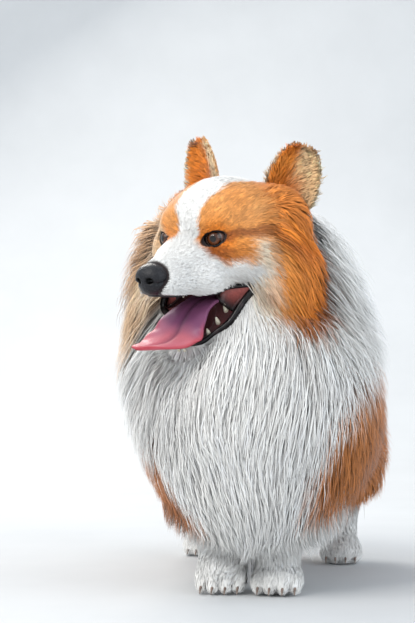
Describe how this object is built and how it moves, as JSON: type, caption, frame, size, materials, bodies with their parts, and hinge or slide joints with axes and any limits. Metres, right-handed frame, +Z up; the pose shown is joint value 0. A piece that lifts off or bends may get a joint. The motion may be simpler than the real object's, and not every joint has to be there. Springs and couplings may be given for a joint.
{
  "type": "pembroke welsh corgi",
  "caption": "Life-size still model of a long-coated red and white dog, walking, head turned to its right, mouth open and tongue out.",
  "frame": {"origin": "middle of the outer box, on the floor", "axes": "+X the dog's left, +Y its rear, +Z up; the dog walks towards -Y"},
  "size_m": [0.3106, 0.605, 0.5149],
  "materials": {
    "coat_head": "short red and white fur",
    "coat_jaw": "short white fur",
    "nose_leather": "moist black nose",
    "tongue_flesh": "wet pink tongue",
    "eye": "dark brown eye, clear and wet",
    "coat_ear": "short red fur",
    "coat_mane": "long white coat",
    "coat_body": "long red coat",
    "coat_leg": "short white fur",
    "coat_thigh": "long red coat, white below"
  },
  "bodies": {
    "root": {"head": "coat_head", "lower_jaw": "coat_jaw", "nose": "nose_leather", "tongue": "tongue_flesh", "eye_left": "eye", "eye_right": "eye", "ear_left": "coat_ear", "ear_right": "coat_ear", "neck": "coat_mane", "torso": "coat_body", "tail": "coat_body", "foreleg_left": "coat_leg", "foreleg_right": "coat_leg", "forepaw_left": "coat_leg", "forepaw_right": "coat_leg", "hindleg_left": "coat_thigh", "hindleg_right": "coat_thigh", "hindpaw_left": "coat_leg", "hindpaw_right": "coat_leg"}
  },
  "joints": []
}
